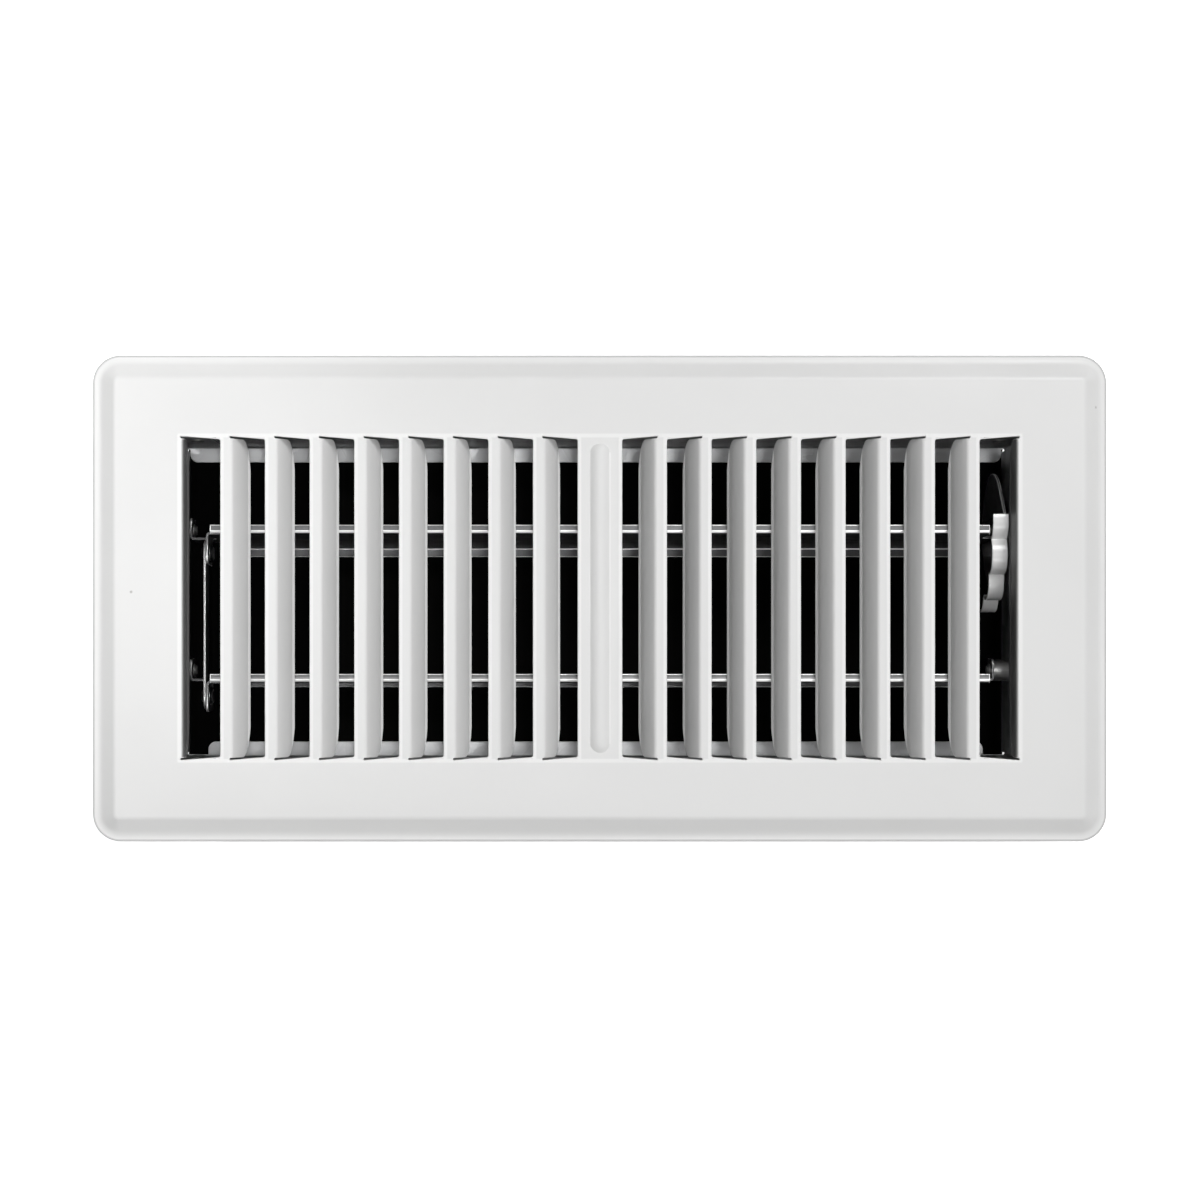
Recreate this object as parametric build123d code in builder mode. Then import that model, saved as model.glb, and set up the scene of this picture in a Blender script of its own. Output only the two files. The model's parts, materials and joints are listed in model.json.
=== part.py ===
from build123d import *

import os
from math import cos, radians, sin, sqrt

# Floor register for a 4 by 10 inch duct: a louvred face plate over an open steel box with two linked blades.
# Origin: centre of the plane where the face plate's brim lies on the floor. +X runs along the face, +Y to
# its rear long edge, +Z up out of the floor. Millimetres. The blades are drawn open, which is their rest.

os.makedirs("parts", exist_ok=True)

# Face plate
FACE_LENGTH = 292.0
FACE_WIDTH = 140.0
FACE_SHEET = 0.8
FACE_RISE = 5.0
RIM_WIDTH = 6.8
BRIM_WIDTH = 2.2
BRIM_BEND = 3.0
CREASE_INNER_BEND = 1.2
CREASE_LAND = 0.8
PANEL_CORNER_RADIUS = 1.2

# Louvres, counted on each side of the centre bar
LOUVRE_COUNT = 9
LOUVRE_PITCH = 12.8
CENTRE_BAR = 12.8
BAR_WIDTH = 2.7
SLOT_LENGTH = 92.8
SLOT_END_TAPER = 0.9
SLOT_CORNER_RADIUS = 0.6
END_SLOT_WIDTH = 11.4
LOUVRE_INNER_BEND = 0.6
LOUVRE_BEND_ANGLE = 52.0
LOUVRE_CURVE_ANGLE = 20.0
LOUVRE_REACH = 8.8
END_LOUVRE_INNER_BEND = 0.2
END_LOUVRE_BEND_ANGLE = 87.0
END_LOUVRE_CURVE_ANGLE = 3.0
END_LOUVRE_REACH = 9.4
LOUVRE_END_GAP = 0.6
LOUVRE_END_ROUND = 20.0
LOUVRE_END_STRAIGHT = 4.2

# Raised rib on the centre bar
RIB_LENGTH = 88.6
RIB_WIDTH = 5.6
RIB_HEIGHT = 1.1

# Damper box
BOX_LENGTH = 251.0
BOX_WIDTH = 97.0
BOX_DEPTH = 51.0
BOX_SHEET = 0.8
BOX_BEND = 0.8
TOP_FLANGE = 9.5
BOTTOM_FLANGE = 5.6
FLANGE_CORNER_RADIUS = 2.4
REAR_FLANGE_SETBACK = 0.9
FRONT_FLANGE_SETBACK = 6.4
TAB_REACH = 12.0
TAB_TOP = -5.0
TAB_BOTTOM = -45.0
WELD_RADIUS = 2.0
WELD_DENT = 0.2
RAIL_WELDS = 4
END_WELDS = 2
RAIL_WELD_PITCH = 63.0
END_WELD_PITCH = 44.0

# Corner rivets
CORNER_RIVET_RADIUS = 1.5
CORNER_RIVET_INSET = 7.5
CORNER_RIVET_DROP = 16.0
RIVET_FIT = 0.05
RIVET_HEAD_RADIUS = 2.8
RIVET_HEAD_HEIGHT = 1.0
RIVET_TAIL_RADIUS = 2.3
RIVET_TAIL_HEIGHT = 0.8
HEAD_CONE = 0.9

# Damper blades
PIVOT_SPACING = 41.6
PIVOT_DROP = 27.0
BLADE_SHEET = 0.6
BLADE_BEND = 0.6
BLADE_ABOVE = 22.0
BLADE_BELOW = 22.0
BLADE_SETOFF = 2.5
BLADE_TOP_FLANGE = 2.7
BLADE_BOTTOM_FLANGE = 3.5
REAR_BLADE_LEAN = 3.0
FRONT_BLADE_LEAN = -1.5
BLADE_LEFT_END_GAP = 11.7
BLADE_RIGHT_END_GAP = 11.2
LEFT_EAR_GAP = 3.6
RIGHT_EAR_GAP = 7.0
EAR_REACH = 3.4
EAR_HEIGHT = 9.0
DRIVE_EAR_HEIGHT = 16.0
EAR_CORNER_RADIUS = 1.6
TONGUE_LAP = 3.0

# Pivot rivets, spacers and spring washer
SHOULDER_RADIUS = 1.6
TENON_RADIUS = 1.2
PIVOT_FIT = 0.05
EAR_PLAY = 0.1
PIVOT_HEAD_RADIUS = 2.1
PIVOT_HEAD_HEIGHT = 1.0
STAKE_RADIUS = 2.3
STAKE_HEIGHT = 0.7
SPACER_RADIUS = 3.2
WASHER_SHEET = 0.4
WASHER_HEIGHT = 1.1

# Crank tab and link bar
CRANK_REACH = 9.1
CRANK_LOW = 9.0
CRANK_HIGH = 21.4
CRANK_CORNER_RADIUS = 2.5
LINK_PIN_FORWARD = 7.4
LINK_PIN_UP = 16.0
LINK_SHEET = 0.8
LINK_HEIGHT = 8.0
LINK_GAP = 0.2
LINK_PIN_RADIUS = 1.5
LINK_PIN_FIT = 0.08

# Thumb wheel
WHEEL_RADIUS = 24.5
WHEEL_SHEET = 0.8
WHEEL_RIM_WIDTH = 4.5
WHEEL_HUB_RADIUS = 17.0
LOBE_RADIUS = 6.0
LOBE_COUNT = 4
LOBE_PITCH_ANGLE = 30.0
FIRST_LOBE_ANGLE = 84.0
RIM_START_ANGLE = 81.0
RIM_END_ANGLE = 178.0
WHEEL_RIVET_RADIUS = 1.0
WHEEL_RIVET_OFFSET = 5.8
WHEEL_RIVET_HEAD_RADIUS = 1.7
WHEEL_RIVET_HEAD_HEIGHT = 0.7

# Places that follow from the sizes above
PANEL_UNDERSIDE = FACE_RISE - FACE_SHEET
FACE_CORNER_RADIUS = RIM_WIDTH + PANEL_CORNER_RADIUS
SLOT_WIDTH = LOUVRE_PITCH - BAR_WIDTH
WALL_OUTSIDE = BOX_WIDTH / 2
WALL_INSIDE = WALL_OUTSIDE - BOX_SHEET
END_OUTSIDE = BOX_LENGTH / 2
END_INSIDE = END_OUTSIDE - BOX_SHEET
BLADE_LEFT = -END_INSIDE + BLADE_LEFT_END_GAP
BLADE_RIGHT = END_INSIDE - BLADE_RIGHT_END_GAP
LEFT_EAR_FACE = -END_INSIDE + LEFT_EAR_GAP
RIGHT_EAR_FACE = END_INSIDE - RIGHT_EAR_GAP
CRANK_FACE = BLADE_LEFT - BLADE_BEND - BLADE_SHEET
LINK_FACE = CRANK_FACE - LINK_GAP
WHEEL_FACE = RIGHT_EAR_FACE + WHEEL_SHEET
REAR_PIVOT = PIVOT_SPACING / 2
FRONT_PIVOT = -PIVOT_SPACING / 2
WEB_REAR = -BLADE_SETOFF
WEB_FRONT = -BLADE_SETOFF - BLADE_SHEET


def save(piece, name):
    """Label one finished piece and write it."""
    piece.label = name
    export_step(piece, f"parts/{name}.step")


def louvre_drop(bend, bend_angle, curve_angle, reach):
    """Depth of a louvre's free edge below the panel's top surface."""
    curve = reach / radians(curve_angle)
    final = radians(bend_angle + curve_angle)
    return bend * (1 - cos(radians(bend_angle))) + curve * (cos(radians(bend_angle)) - cos(final))


def louvre(inner_bend, bend_angle, curve_angle, reach):
    """One louvre, rooted on the YZ plane at z = 0 and turned down towards +X, with round lower corners."""
    half_length = SLOT_LENGTH / 2 - LOUVRE_END_GAP
    outer_bend = inner_bend + FACE_SHEET
    depth = louvre_drop(outer_bend, bend_angle, curve_angle, reach) + FACE_SHEET
    round_height = depth - LOUVRE_END_STRAIGHT
    with BuildPart() as fin:
        with BuildSketch(Plane.XZ):
            with BuildLine():
                bend = JernArc((0, 0), (1, 0), outer_bend, -bend_angle)
                JernArc(bend @ 1, bend % 1, reach / radians(curve_angle), -curve_angle)
                offset(amount=FACE_SHEET, side=Side.RIGHT)
            make_face()
        extrude(amount=half_length, both=True)
        with BuildSketch(Plane.YZ):
            with BuildLine():
                corner = EllipticalCenterArc(
                    (half_length - LOUVRE_END_ROUND, -LOUVRE_END_STRAIGHT),
                    LOUVRE_END_ROUND,
                    round_height,
                    start_angle=270,
                    arc_size=90,
                )
                side = Line(corner @ 1, (half_length, FACE_SHEET))
                Line(side @ 1, (0, FACE_SHEET))
                mirror(about=Plane.YZ)
                Line(corner @ 0, (-(half_length - LOUVRE_END_ROUND), -depth))
            make_face()
        extrude(amount=LOUVRE_PITCH, mode=Mode.INTERSECT)
    return fin.part


def bead(half_width, height, length):
    """A long round-topped bead on the XY plane, with domed ends, along Y."""
    run = length / 2 - half_width
    with BuildPart() as body:
        with BuildSketch(Plane.XZ):
            with BuildLine():
                crown = ThreePointArc((-half_width, 0), (0, height), (half_width, 0))
                Line(crown @ 1, crown @ 0)
            make_face()
        extrude(amount=run, both=True)
        for end in (-run, run):
            with BuildSketch(Plane.XZ.offset(-end)):
                with BuildLine():
                    dome = TangentArc((0, height), (half_width, 0), tangent=(1, 0))
                    Polyline(dome @ 1, (0, 0), dome @ 0)
                make_face()
            revolve(axis=Axis((0, end, 0), (0, 0, 1)))
    return body.part


def rivet(radius, grip, head_radius, head_height, tail_radius, tail_height):
    """A rivet along +Z: coned head below z = 0, shank through the grip, coned tail above it."""
    with BuildPart() as body:
        with BuildSketch(Plane.XZ):
            with BuildLine():
                Polyline(
                    (0, -head_height),
                    (head_radius - HEAD_CONE, -head_height),
                    (head_radius, 0),
                    (radius, 0),
                    (radius, grip),
                    (tail_radius, grip),
                    (tail_radius - HEAD_CONE, grip + tail_height),
                    (0, grip + tail_height),
                    close=True,
                )
            make_face()
        revolve(axis=Axis.Z)
    return body.part


def shoulder_rivet(shoulder):
    """A pivot rivet along +Z: staked tenon below z = 0, shoulder above it, then a coned head."""
    top = shoulder + PIVOT_HEAD_HEIGHT
    low = -BOX_SHEET - STAKE_HEIGHT
    with BuildPart() as body:
        with BuildSketch(Plane.XZ):
            with BuildLine():
                Polyline(
                    (0, top),
                    (PIVOT_HEAD_RADIUS - HEAD_CONE, top),
                    (PIVOT_HEAD_RADIUS, shoulder),
                    (SHOULDER_RADIUS, shoulder),
                    (SHOULDER_RADIUS, 0),
                    (TENON_RADIUS, 0),
                    (TENON_RADIUS, -BOX_SHEET),
                    (STAKE_RADIUS, -BOX_SHEET),
                    (STAKE_RADIUS - HEAD_CONE, low),
                    (0, low),
                    close=True,
                )
            make_face()
        revolve(axis=Axis.Z)
    return body.part


def spacer(length):
    """A plain tube along +Z that keeps an ear off the end plate."""
    with BuildPart() as body:
        with BuildSketch():
            Circle(SPACER_RADIUS)
            Circle(SHOULDER_RADIUS + PIVOT_FIT, mode=Mode.SUBTRACT)
        extrude(amount=length)
    return body.part


def pivot_plane(x, y, inward):
    """The plane of one pivot at X = x, with its normal along the given X direction."""
    return Plane(origin=(x, y, -PIVOT_DROP), x_dir=(0, 1, 0), z_dir=(inward, 0, 0))


def rail(flange_setback):
    """The rear side wall of the box: flange out under the panel, wall, flange in at the bottom."""
    with BuildPart() as body:
        with BuildSketch(Plane.YZ):
            with BuildLine():
                FilletPolyline(
                    (WALL_OUTSIDE + TOP_FLANGE, PANEL_UNDERSIDE - BOX_SHEET),
                    (WALL_OUTSIDE, PANEL_UNDERSIDE - BOX_SHEET),
                    (WALL_OUTSIDE, -BOX_DEPTH),
                    (WALL_OUTSIDE - BOTTOM_FLANGE, -BOX_DEPTH),
                    radius=(BOX_BEND, BOX_BEND + BOX_SHEET),
                )
                offset(amount=BOX_SHEET, side=Side.RIGHT)
            make_face()
        extrude(amount=END_OUTSIDE, both=True)
        with BuildSketch(Plane.XY.offset(-BOX_DEPTH)):
            for end in (-1, 1):
                with Locations((end * END_OUTSIDE, WALL_INSIDE - BOX_BEND)):
                    Rectangle(
                        2 * flange_setback,
                        2 * BOTTOM_FLANGE,
                        align=(Align.CENTER, Align.MAX),
                    )
        extrude(amount=BOX_SHEET, mode=Mode.SUBTRACT)
        fillet(body.edges().filter_by(Axis.Z).group_by(Axis.Y)[0], FLANGE_CORNER_RADIUS)
        with BuildSketch(Plane.XY.offset(PANEL_UNDERSIDE - BOX_SHEET)):
            with Locations((0, WALL_OUTSIDE + TOP_FLANGE / 2)):
                with GridLocations(RAIL_WELD_PITCH, 0, RAIL_WELDS, 1):
                    Circle(WELD_RADIUS)
        extrude(amount=WELD_DENT, mode=Mode.SUBTRACT)
        with BuildSketch(Plane.XZ.offset(-WALL_OUTSIDE)):
            with Locations(*corner_rivet_places()):
                Circle(CORNER_RIVET_RADIUS + RIVET_FIT)
        extrude(amount=BOX_SHEET, mode=Mode.SUBTRACT)
    return body.part


def corner_rivet_places():
    """X and Z of the corner rivets on one rail, left then right."""
    inset = END_OUTSIDE - CORNER_RIVET_INSET
    return [(-inset, -CORNER_RIVET_DROP), (inset, -CORNER_RIVET_DROP)]


def end_plate():
    """The right end of the box: wall, flange out under the panel, and a tab along each rail."""
    half_width = WALL_INSIDE - BOX_BEND - BOX_SHEET
    with BuildPart() as body:
        with BuildSketch(Plane.XZ):
            with BuildLine():
                FilletPolyline(
                    (END_OUTSIDE + TOP_FLANGE, PANEL_UNDERSIDE - BOX_SHEET),
                    (END_OUTSIDE, PANEL_UNDERSIDE - BOX_SHEET),
                    (END_OUTSIDE, BOX_SHEET - BOX_DEPTH),
                    radius=BOX_BEND,
                )
                offset(amount=BOX_SHEET, side=Side.RIGHT)
            make_face()
        extrude(amount=half_width, both=True)
        with BuildSketch(Plane.XY.offset(TAB_BOTTOM)):
            with BuildLine():
                FilletPolyline(
                    (END_OUTSIDE, half_width - TAB_REACH),
                    (END_OUTSIDE, WALL_INSIDE),
                    (END_OUTSIDE - TAB_REACH, WALL_INSIDE),
                    radius=BOX_BEND + BOX_SHEET,
                )
                offset(amount=BOX_SHEET, side=Side.LEFT)
            make_face()
            mirror(about=Plane.XZ)
        extrude(amount=TAB_TOP - TAB_BOTTOM)
        with BuildSketch(Plane.XZ):
            with Locations(corner_rivet_places()[1]):
                Circle(CORNER_RIVET_RADIUS + RIVET_FIT)
        extrude(amount=WALL_OUTSIDE, both=True, mode=Mode.SUBTRACT)
        with BuildSketch(Plane.YZ.offset(END_INSIDE)):
            with Locations((REAR_PIVOT, -PIVOT_DROP), (FRONT_PIVOT, -PIVOT_DROP)):
                Circle(TENON_RADIUS + RIVET_FIT)
        extrude(amount=BOX_SHEET, mode=Mode.SUBTRACT)
        with BuildSketch(Plane.XY.offset(PANEL_UNDERSIDE - BOX_SHEET)):
            with Locations((END_OUTSIDE + TOP_FLANGE / 2, 0)):
                with GridLocations(0, END_WELD_PITCH, 1, END_WELDS):
                    Circle(WELD_RADIUS)
        extrude(amount=WELD_DENT, mode=Mode.SUBTRACT)
    return body.part


def blade(right_ear_height, wheel_holes, lean):
    """One damper blade around its pivot axis, open: a Z-folded web, two ears and a left crank tab."""
    with BuildPart() as sheet:
        with BuildSketch(Plane.YZ.offset(BLADE_LEFT)):
            with BuildLine():
                FilletPolyline(
                    (WEB_FRONT + BLADE_TOP_FLANGE, BLADE_ABOVE - BLADE_SHEET),
                    (WEB_REAR, BLADE_ABOVE - BLADE_SHEET),
                    (WEB_REAR, -BLADE_BELOW),
                    (WEB_REAR - BLADE_BOTTOM_FLANGE, -BLADE_BELOW),
                    radius=(BLADE_BEND, BLADE_BEND + BLADE_SHEET),
                )
                offset(amount=BLADE_SHEET, side=Side.RIGHT)
            make_face()
        extrude(amount=BLADE_RIGHT - BLADE_LEFT)
        ears = (
            (LEFT_EAR_FACE, BLADE_LEFT + TONGUE_LAP, EAR_HEIGHT, Side.RIGHT),
            (RIGHT_EAR_FACE, BLADE_RIGHT - TONGUE_LAP, right_ear_height, Side.LEFT),
        )
        for face_x, start_x, height, inner_side in ears:
            with BuildSketch(Plane.XY):
                with BuildLine():
                    FilletPolyline(
                        (start_x, WEB_FRONT),
                        (face_x, WEB_FRONT),
                        (face_x, EAR_REACH),
                        radius=BLADE_BEND + BLADE_SHEET,
                    )
                    offset(amount=BLADE_SHEET, side=inner_side)
                make_face()
            extrude(amount=height / 2, both=True)
        fillet(sheet.edges().filter_by(Axis.X).group_by(Axis.Y)[-1], EAR_CORNER_RADIUS)
        with BuildSketch(Plane.XY.offset(CRANK_LOW)):
            with BuildLine():
                FilletPolyline(
                    (BLADE_LEFT + TONGUE_LAP, WEB_REAR),
                    (CRANK_FACE, WEB_REAR),
                    (CRANK_FACE, WEB_REAR - CRANK_REACH),
                    radius=BLADE_BEND + BLADE_SHEET,
                )
                offset(amount=BLADE_SHEET, side=Side.LEFT)
            make_face()
        extrude(amount=CRANK_HIGH - CRANK_LOW)
        fillet(sheet.edges().filter_by(Axis.X).group_by(Axis.Y)[0], CRANK_CORNER_RADIUS)
    with BuildPart() as body:
        with Locations(Rotation(-lean, 0, 0)):
            add(sheet.part)
        with BuildSketch(Plane.YZ):
            Circle(SHOULDER_RADIUS + PIVOT_FIT)
        extrude(amount=END_INSIDE, both=True, mode=Mode.SUBTRACT)
        with BuildSketch(Plane.YZ.offset(CRANK_FACE)):
            with Locations((-LINK_PIN_FORWARD, LINK_PIN_UP)):
                Circle(LINK_PIN_RADIUS + RIVET_FIT)
        extrude(amount=BLADE_SHEET, mode=Mode.SUBTRACT)
        if wheel_holes:
            with BuildSketch(Plane.YZ.offset(RIGHT_EAR_FACE)):
                with GridLocations(0, 2 * WHEEL_RIVET_OFFSET, 1, 2):
                    Circle(WHEEL_RIVET_RADIUS + RIVET_FIT)
            extrude(amount=-BLADE_SHEET, mode=Mode.SUBTRACT)
    return body.part


# Face plate: one stamping with a turned-down rim, louvres lanced out of the panel and a pressed centre rib
fin = louvre(LOUVRE_INNER_BEND, LOUVRE_BEND_ANGLE, LOUVRE_CURVE_ANGLE, LOUVRE_REACH)
end_fin = louvre(END_LOUVRE_INNER_BEND, END_LOUVRE_BEND_ANGLE, END_LOUVRE_CURVE_ANGLE, END_LOUVRE_REACH)
rib_radius = ((RIB_WIDTH / 2) ** 2 + RIB_HEIGHT**2) / (2 * RIB_HEIGHT)
hollow_half_width = sqrt((rib_radius - FACE_SHEET) ** 2 - (rib_radius - FACE_SHEET - RIB_HEIGHT) ** 2)
rib = bead(RIB_WIDTH / 2, RIB_HEIGHT, RIB_LENGTH)
rib_hollow = bead(hollow_half_width, RIB_HEIGHT, RIB_LENGTH - RIB_WIDTH + 2 * hollow_half_width)
free_edges = [-CENTRE_BAR / 2 - step * LOUVRE_PITCH for step in range(LOUVRE_COUNT)]
slot_widths = [SLOT_WIDTH] * (LOUVRE_COUNT - 1) + [END_SLOT_WIDTH]
roots = [edge - width for edge, width in zip(free_edges, slot_widths)]


def is_cut_corner(x):
    """Whether a slot corner at X = x lies on a cut edge, and not at a louvre's root."""
    return any(abs(x - edge) < SLOT_CORNER_RADIUS for edge in free_edges)


with BuildPart() as face_plate:
    with BuildLine() as half_edge:
        FilletPolyline(
            (FACE_LENGTH / 2, 0),
            (FACE_LENGTH / 2, FACE_WIDTH / 2),
            (-FACE_LENGTH / 2, FACE_WIDTH / 2),
            (-FACE_LENGTH / 2, 0),
            radius=FACE_CORNER_RADIUS,
        )
    with BuildSketch(Plane.XZ):
        with BuildLine():
            FilletPolyline(
                (FACE_LENGTH / 2, FACE_SHEET),
                (FACE_LENGTH / 2 - BRIM_WIDTH, FACE_SHEET),
                (FACE_LENGTH / 2 - RIM_WIDTH, FACE_RISE),
                (FACE_LENGTH / 2 - RIM_WIDTH - CREASE_LAND, FACE_RISE),
                radius=(BRIM_BEND, CREASE_INNER_BEND + FACE_SHEET),
            )
            offset(amount=FACE_SHEET, side=Side.LEFT)
        make_face()
    sweep(path=half_edge.wire())
    mirror(about=Plane.XZ)
    with BuildSketch(Plane.XY.offset(PANEL_UNDERSIDE)):
        RectangleRounded(
            FACE_LENGTH - 2 * (RIM_WIDTH + CREASE_LAND),
            FACE_WIDTH - 2 * (RIM_WIDTH + CREASE_LAND),
            PANEL_CORNER_RADIUS - CREASE_LAND,
        )
    extrude(amount=FACE_SHEET)
    with BuildSketch(Plane.XY.offset(PANEL_UNDERSIDE)) as slots:
        for root, free_edge in zip(roots, free_edges):
            with BuildLine():
                Polyline(
                    (root, -SLOT_LENGTH / 2),
                    (free_edge, SLOT_END_TAPER - SLOT_LENGTH / 2),
                    (free_edge, SLOT_LENGTH / 2 - SLOT_END_TAPER),
                    (root, SLOT_LENGTH / 2),
                    close=True,
                )
            make_face()
        fillet(slots.vertices().filter_by(lambda corner: is_cut_corner(corner.X)), SLOT_CORNER_RADIUS)
        mirror(about=Plane.YZ)
    extrude(amount=FACE_SHEET, mode=Mode.SUBTRACT)
    with Locations(*[(root, 0, FACE_RISE) for root in roots[:-1]]):
        add(fin)
    with Locations((roots[-1], 0, FACE_RISE)):
        add(end_fin)
    with Locations(*[(-root, 0, FACE_RISE) for root in roots[:-1]]):
        add(mirror(fin, about=Plane.YZ, mode=Mode.PRIVATE))
    with Locations((-roots[-1], 0, FACE_RISE)):
        add(mirror(end_fin, about=Plane.YZ, mode=Mode.PRIVATE))
    with Locations((0, 0, FACE_RISE)):
        add(rib)
    with Locations((0, 0, PANEL_UNDERSIDE)):
        add(rib_hollow, mode=Mode.SUBTRACT)
save(face_plate.part, "face_plate")

# Damper box: two rails and two end plates, riveted at the corners
save(rail(REAR_FLANGE_SETBACK), "rear_rail")
save(mirror(rail(FRONT_FLANGE_SETBACK), about=Plane.XZ), "front_rail")
right_end = end_plate()
save(right_end, "right_end_plate")
save(mirror(right_end, about=Plane.YZ), "left_end_plate")

corner_rivet = rivet(
    CORNER_RIVET_RADIUS,
    2 * BOX_SHEET,
    RIVET_HEAD_RADIUS,
    RIVET_HEAD_HEIGHT,
    RIVET_TAIL_RADIUS,
    RIVET_TAIL_HEIGHT,
)
with BuildPart() as corner_rivets:
    for side in (-1, 1):
        planes = [
            Plane(origin=(x, side * WALL_OUTSIDE, z), x_dir=(1, 0, 0), z_dir=(0, -side, 0))
            for x, z in corner_rivet_places()
        ]
        with Locations(*planes):
            add(corner_rivet)
save(corner_rivets.part, "corner_rivets")

# Damper blades with their pivots
with BuildPart() as rear_blade:
    with Locations((0, REAR_PIVOT, -PIVOT_DROP)):
        add(blade(DRIVE_EAR_HEIGHT, True, REAR_BLADE_LEAN))
save(rear_blade.part, "rear_blade")

with BuildPart() as front_blade:
    with Locations((0, FRONT_PIVOT, -PIVOT_DROP)):
        add(blade(EAR_HEIGHT, False, FRONT_BLADE_LEAN))
save(front_blade.part, "front_blade")

left_shoulder = LEFT_EAR_GAP + BLADE_SHEET + EAR_PLAY
right_shoulder = RIGHT_EAR_GAP + BLADE_SHEET + EAR_PLAY
pivots = (
    ("left_rear_pivot", -END_INSIDE, REAR_PIVOT, 1, left_shoulder),
    ("left_front_pivot", -END_INSIDE, FRONT_PIVOT, 1, left_shoulder),
    ("right_rear_pivot", END_INSIDE, REAR_PIVOT, -1, right_shoulder),
    ("right_front_pivot", END_INSIDE, FRONT_PIVOT, -1, right_shoulder),
)
for pivot_name, pivot_x, pivot_y, inward, shoulder in pivots:
    with BuildPart() as pivot:
        with Locations(pivot_plane(pivot_x, pivot_y, inward)):
            add(shoulder_rivet(shoulder))
    save(pivot.part, pivot_name)

rear_spacer_length = RIGHT_EAR_GAP - WHEEL_SHEET - WASHER_HEIGHT - EAR_PLAY
with BuildPart() as rear_spacer:
    with Locations(pivot_plane(END_INSIDE, REAR_PIVOT, -1)):
        add(spacer(rear_spacer_length))
save(rear_spacer.part, "rear_spacer")

with BuildPart() as front_spacer:
    with Locations(pivot_plane(END_INSIDE, FRONT_PIVOT, -1)):
        add(spacer(RIGHT_EAR_GAP - EAR_PLAY))
save(front_spacer.part, "front_spacer")

# Spring washer: a shallow cone between the rear spacer and the thumb wheel
washer_x = END_INSIDE - rear_spacer_length
with BuildPart() as spring_washer:
    with BuildSketch(Plane.XY.offset(-PIVOT_DROP)):
        with BuildLine():
            inner = SHOULDER_RADIUS + PIVOT_FIT
            Polyline(
                (washer_x, REAR_PIVOT + SPACER_RADIUS),
                (washer_x - WASHER_HEIGHT + WASHER_SHEET, REAR_PIVOT + inner),
                (washer_x - WASHER_HEIGHT, REAR_PIVOT + inner),
                (washer_x - WASHER_SHEET, REAR_PIVOT + SPACER_RADIUS),
                close=True,
            )
        make_face()
    revolve(axis=Axis((0, REAR_PIVOT, -PIVOT_DROP), (1, 0, 0)))
save(spring_washer.part, "spring_washer")

# Link bar between the two crank tabs, and the rivets that it swings on
with BuildPart() as link_bar:
    with BuildSketch(Plane.YZ.offset(LINK_FACE)):
        with Locations((-LINK_PIN_FORWARD, LINK_PIN_UP - PIVOT_DROP)):
            SlotCenterToCenter(PIVOT_SPACING, LINK_HEIGHT)
            with GridLocations(PIVOT_SPACING, 0, 2, 1):
                Circle(LINK_PIN_RADIUS + LINK_PIN_FIT, mode=Mode.SUBTRACT)
    extrude(amount=-LINK_SHEET)
save(link_bar.part, "link_bar")

link_rivet = rivet(
    LINK_PIN_RADIUS,
    BLADE_SHEET + LINK_GAP + LINK_SHEET + EAR_PLAY,
    RIVET_HEAD_RADIUS,
    RIVET_HEAD_HEIGHT,
    RIVET_TAIL_RADIUS,
    RIVET_TAIL_HEIGHT,
)
for rivet_name, pivot_y in (("rear_link_rivet", REAR_PIVOT), ("front_link_rivet", FRONT_PIVOT)):
    seat = Plane(
        origin=(CRANK_FACE + BLADE_SHEET, pivot_y - LINK_PIN_FORWARD, LINK_PIN_UP - PIVOT_DROP),
        x_dir=(0, 1, 0),
        z_dir=(-1, 0, 0),
    )
    with BuildPart() as crank_pin:
        with Locations(seat):
            add(link_rivet)
    save(crank_pin.part, rivet_name)

# Thumb wheel: a quadrant with a scalloped rim, riveted to the rear blade's right ear
wheel_plane = pivot_plane(WHEEL_FACE, REAR_PIVOT, 1)
rim_sweep = RIM_END_ANGLE - RIM_START_ANGLE
lobe_sweep = LOBE_PITCH_ANGLE * (LOBE_COUNT - 1)
lobe_centre = WHEEL_RADIUS - LOBE_RADIUS
half_pitch = radians(LOBE_PITCH_ANGLE / 2)
valley_offset = lobe_centre * sin(half_pitch)
valley_radius = lobe_centre * cos(half_pitch) + sqrt(LOBE_RADIUS**2 - valley_offset**2)
with BuildPart() as thumb_wheel:
    with BuildSketch(wheel_plane):
        Circle(lobe_centre)
        with PolarLocations(lobe_centre, LOBE_COUNT, FIRST_LOBE_ANGLE, lobe_sweep, endpoint=True):
            Circle(LOBE_RADIUS)
        offset(amount=-WHEEL_SHEET, mode=Mode.SUBTRACT)
        with BuildLine():
            sweep_line = CenterArc((0, 0), 2 * WHEEL_RADIUS, RIM_START_ANGLE, rim_sweep)
            Polyline(sweep_line @ 1, (0, 0), sweep_line @ 0)
        make_face(mode=Mode.INTERSECT)
    extrude(amount=-WHEEL_RIM_WIDTH)
    with BuildSketch(wheel_plane):
        with BuildLine():
            CenterArc((0, 0), valley_radius, RIM_START_ANGLE, rim_sweep)
            CenterArc((0, 0), WHEEL_HUB_RADIUS, 0, 360)
        make_hull()
        Circle(SHOULDER_RADIUS + PIVOT_FIT, mode=Mode.SUBTRACT)
        with GridLocations(0, 2 * WHEEL_RIVET_OFFSET, 1, 2):
            Circle(WHEEL_RIVET_RADIUS + RIVET_FIT, mode=Mode.SUBTRACT)
    extrude(amount=-WHEEL_SHEET)
save(thumb_wheel.part, "thumb_wheel")

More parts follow.
